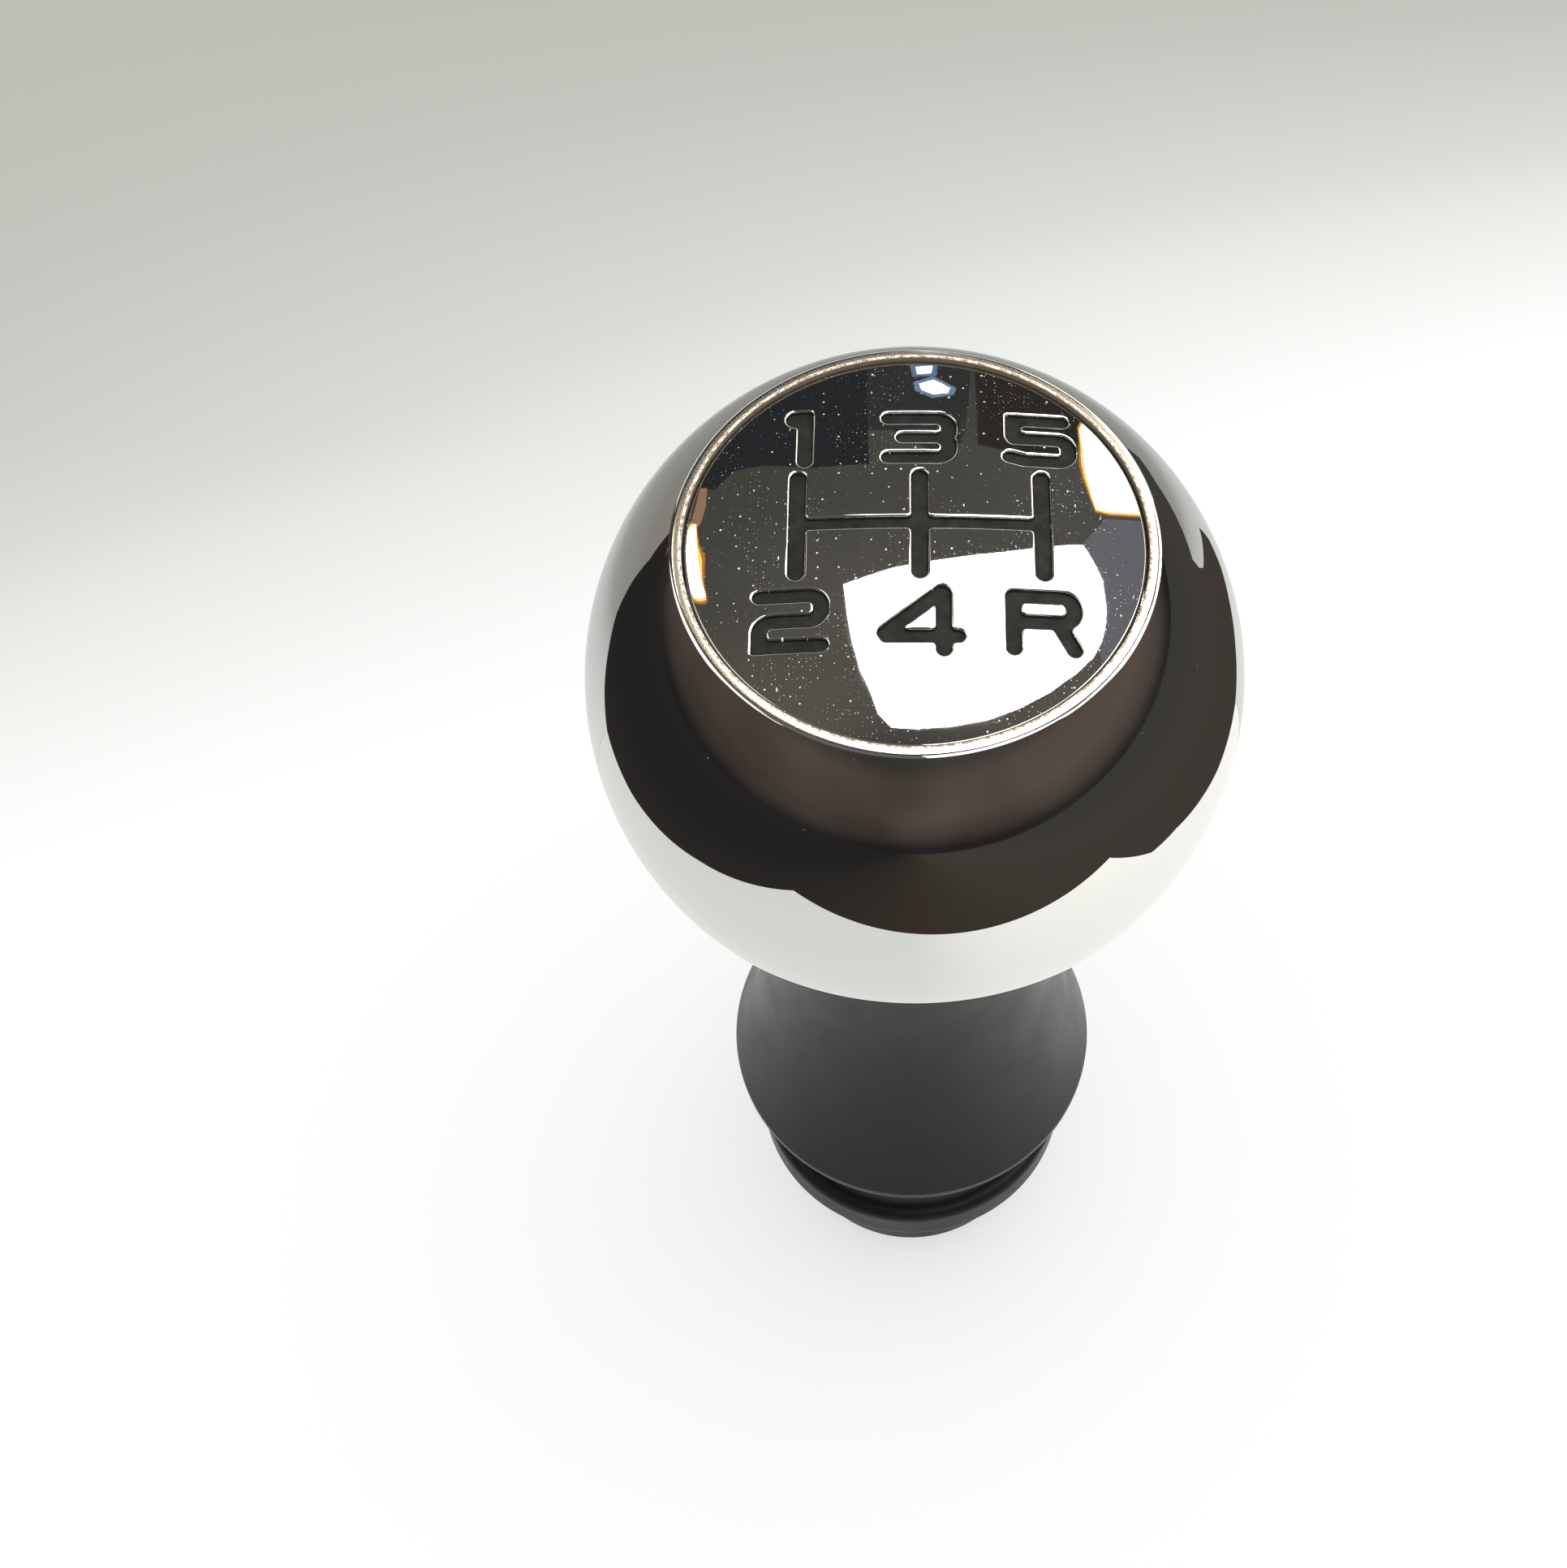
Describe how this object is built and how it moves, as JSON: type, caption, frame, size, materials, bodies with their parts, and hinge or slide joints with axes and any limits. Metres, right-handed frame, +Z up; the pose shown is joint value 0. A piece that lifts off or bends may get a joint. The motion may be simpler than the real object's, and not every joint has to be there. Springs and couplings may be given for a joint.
{
  "type": "gear shift knob",
  "caption": "Ball gear shift knob with a mirror-bright finish, an engraved domed pattern plate, a flared black neck and a collar for the lever gaiter.",
  "frame": {"origin": "centre of the foot, on the plane that the knob stands on", "axes": "+Z up along the knob's axis, towards the pattern plate; +X to the right and +Y away from the driver, as the pattern is read"},
  "size_m": [0.05, 0.05, 0.1148],
  "materials": {
    "bright_ball": "mirror polished",
    "bright_plate": "mirror polished",
    "enamel": "matt",
    "adhesive": "matt",
    "core_plastic": "moulded",
    "brass": "machined",
    "nut_steel": "zinc plated",
    "neck_plastic": "satin",
    "collar_plastic": "satin",
    "grommet_rubber": "matt"
  },
  "bodies": {
    "root": {"ball_shell": "bright_ball", "pattern_plate": "bright_plate", "pattern_enamel": "enamel", "adhesive_ring": "adhesive", "ball_core": "core_plastic", "lever_insert": "brass", "ring_nut": "nut_steel", "neck_skirt": "neck_plastic", "gaiter_collar": "collar_plastic", "lever_grommet": "grommet_rubber"}
  },
  "joints": []
}
